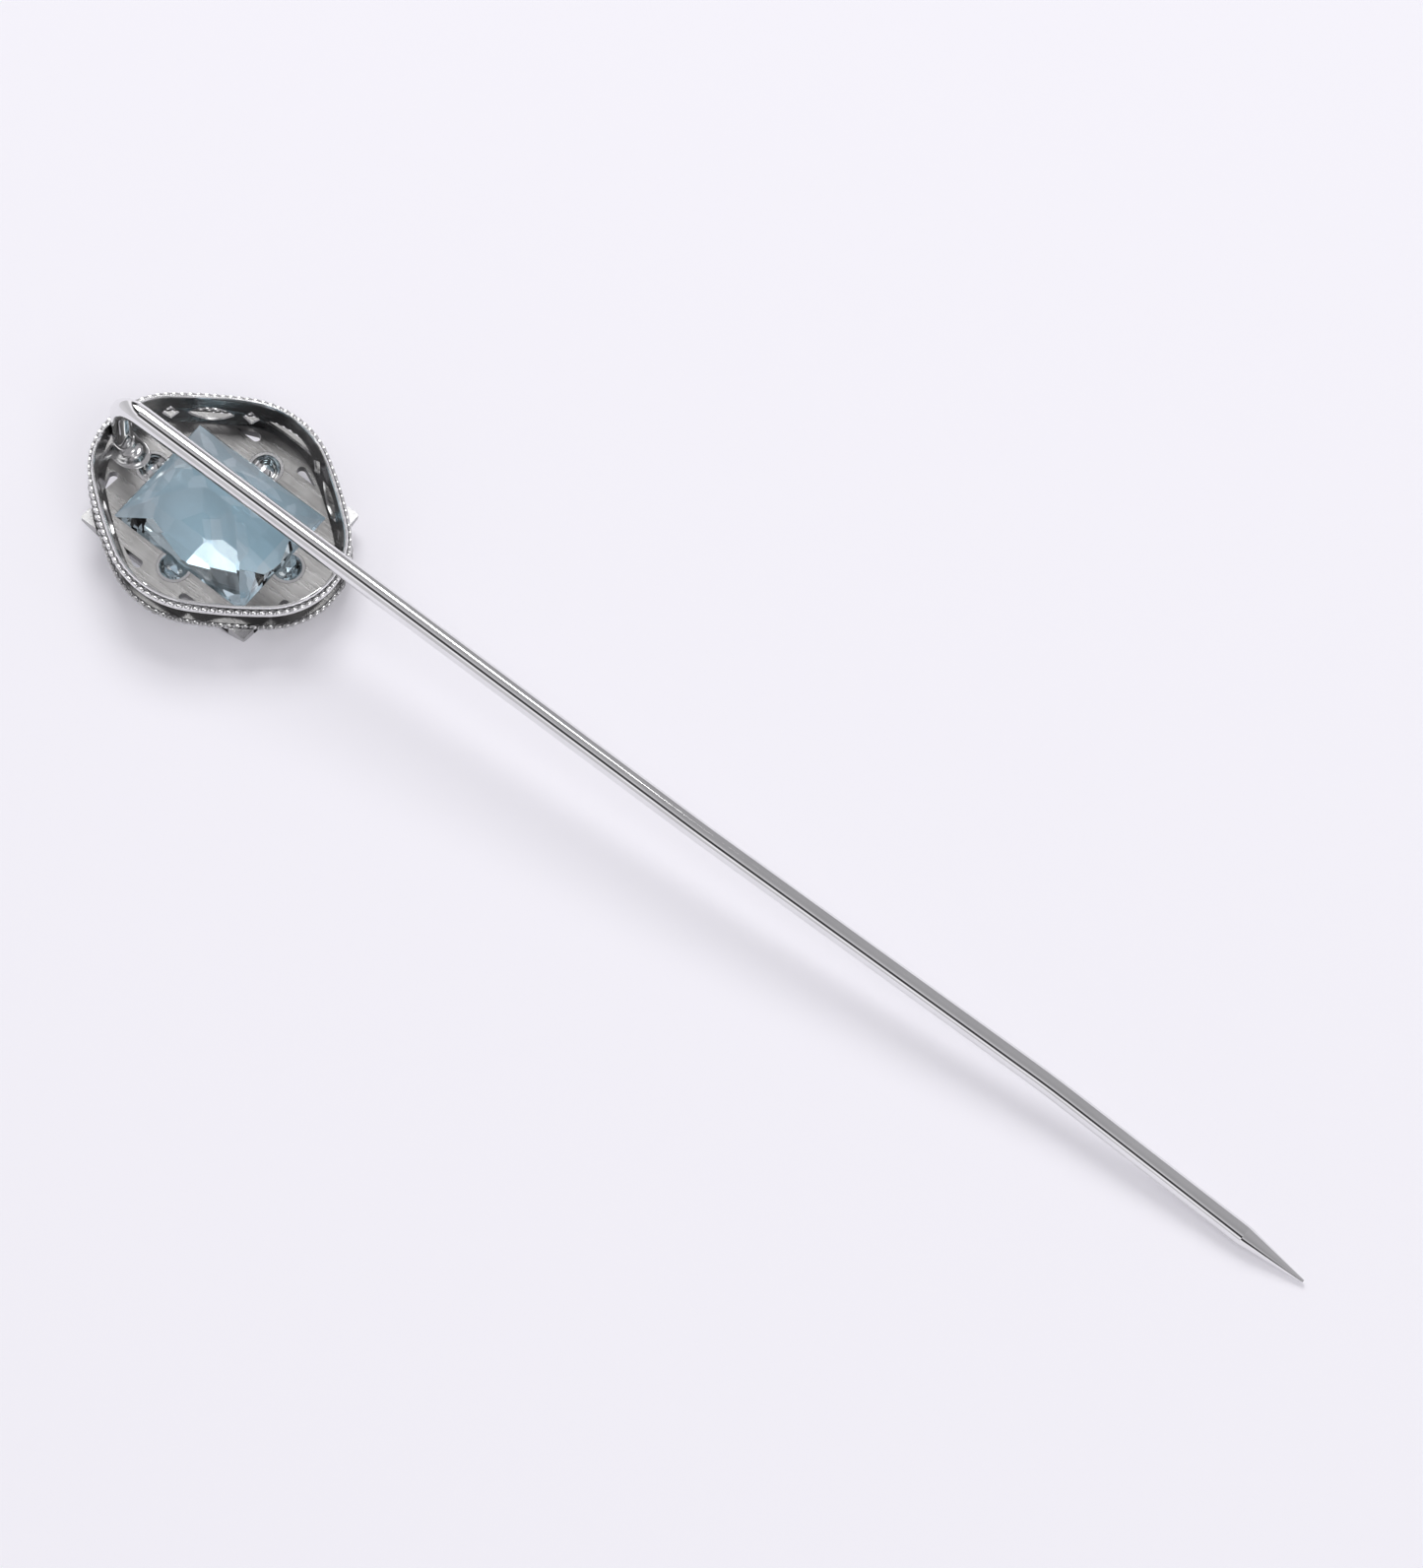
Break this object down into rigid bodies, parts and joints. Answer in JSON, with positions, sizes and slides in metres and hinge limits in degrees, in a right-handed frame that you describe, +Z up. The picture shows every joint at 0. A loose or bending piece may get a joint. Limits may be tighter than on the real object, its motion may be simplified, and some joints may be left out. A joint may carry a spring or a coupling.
{
  "type": "hat pin",
  "caption": "Hat pin: straight wire stem soldered behind a pierced, beaded lozenge head that holds a rectangular step-cut pale blue stone.",
  "frame": {"origin": "centre of the bounding box in X and Y, on the surface the pin lies on", "axes": "+X along the stem towards the point, +Z up out of the open back of the head, which lies face down; +Y across the head"},
  "size_m": [0.0658, 0.0112, 0.0069],
  "materials": {
    "polished_metal": "polished rhodium-plated white metal",
    "satin_metal": "lightly scratched satin white metal",
    "solder": "bright flowed solder",
    "stone": "clear pale aqua faceted stone"
  },
  "bodies": {
    "root": {"pin_stem": "polished_metal", "stem_solder": "solder", "gallery_band": "satin_metal", "back_rim": "polished_metal", "milgrain_back": "polished_metal", "shoulder_band": "polished_metal", "milgrain_front": "polished_metal", "gallery_plate": "satin_metal", "stone_frame": "satin_metal", "cup_point_side": "polished_metal", "cup_elbow_side": "polished_metal", "cup_left_side": "polished_metal", "cup_right_side": "polished_metal", "claw_point_left": "polished_metal", "claw_point_right": "polished_metal", "claw_elbow_left": "polished_metal", "claw_elbow_right": "polished_metal", "stone": "stone"}
  },
  "joints": []
}
